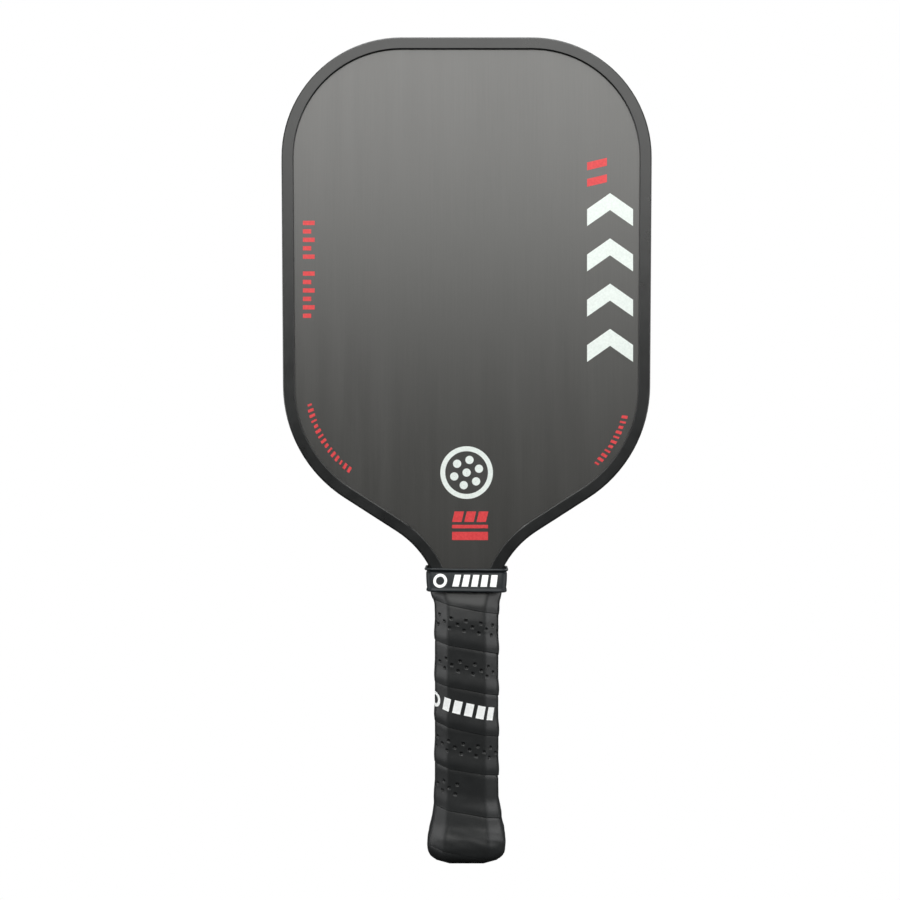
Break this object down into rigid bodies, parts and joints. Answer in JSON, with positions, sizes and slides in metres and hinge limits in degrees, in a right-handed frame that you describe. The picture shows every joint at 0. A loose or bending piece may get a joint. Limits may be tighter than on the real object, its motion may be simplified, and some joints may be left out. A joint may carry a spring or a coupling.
{
  "type": "pickleball paddle",
  "caption": "Flat paddle with rounded carbon faces on a honeycomb core, an edge guard, and an octagonal handle with a wrapped grip and a collar band.",
  "frame": {"origin": "centre of the butt's flat end, at the bottom of the handle", "axes": "+Z along the handle from the butt to the tip, X across the width of the face, -Y out of the front hitting face"},
  "size_m": [0.1886, 0.0378, 0.4191],
  "materials": {
    "carbon_face": "matte",
    "edge_guard": "satin",
    "grip_wrap": "matte",
    "collar_rubber": "matte",
    "butt_cap": "satin",
    "honeycomb": "satin",
    "foam": "matte",
    "pallet_foam": "matte",
    "adhesive": "satin",
    "carbon_edge": "satin",
    "staple_steel": "satin",
    "finishing_tape": "satin"
  },
  "bodies": {
    "root": {"honeycomb_core": "honeycomb", "tongue_core": "foam", "perimeter_foam": "foam", "edge_laminate": "carbon_edge", "front_core_film": "adhesive", "back_core_film": "adhesive", "front_face_sheet": "carbon_face", "back_face_sheet": "carbon_face", "edge_guard": "edge_guard", "guard_tape": "adhesive", "butt_cap": "butt_cap", "butt_cap_staples": "staple_steel", "front_handle_pallet": "pallet_foam", "back_handle_pallet": "pallet_foam", "front_pallet_tape": "adhesive", "back_pallet_tape": "adhesive", "grip_wrap": "grip_wrap", "finishing_tape": "finishing_tape", "collar_band": "collar_rubber"}
  },
  "joints": []
}
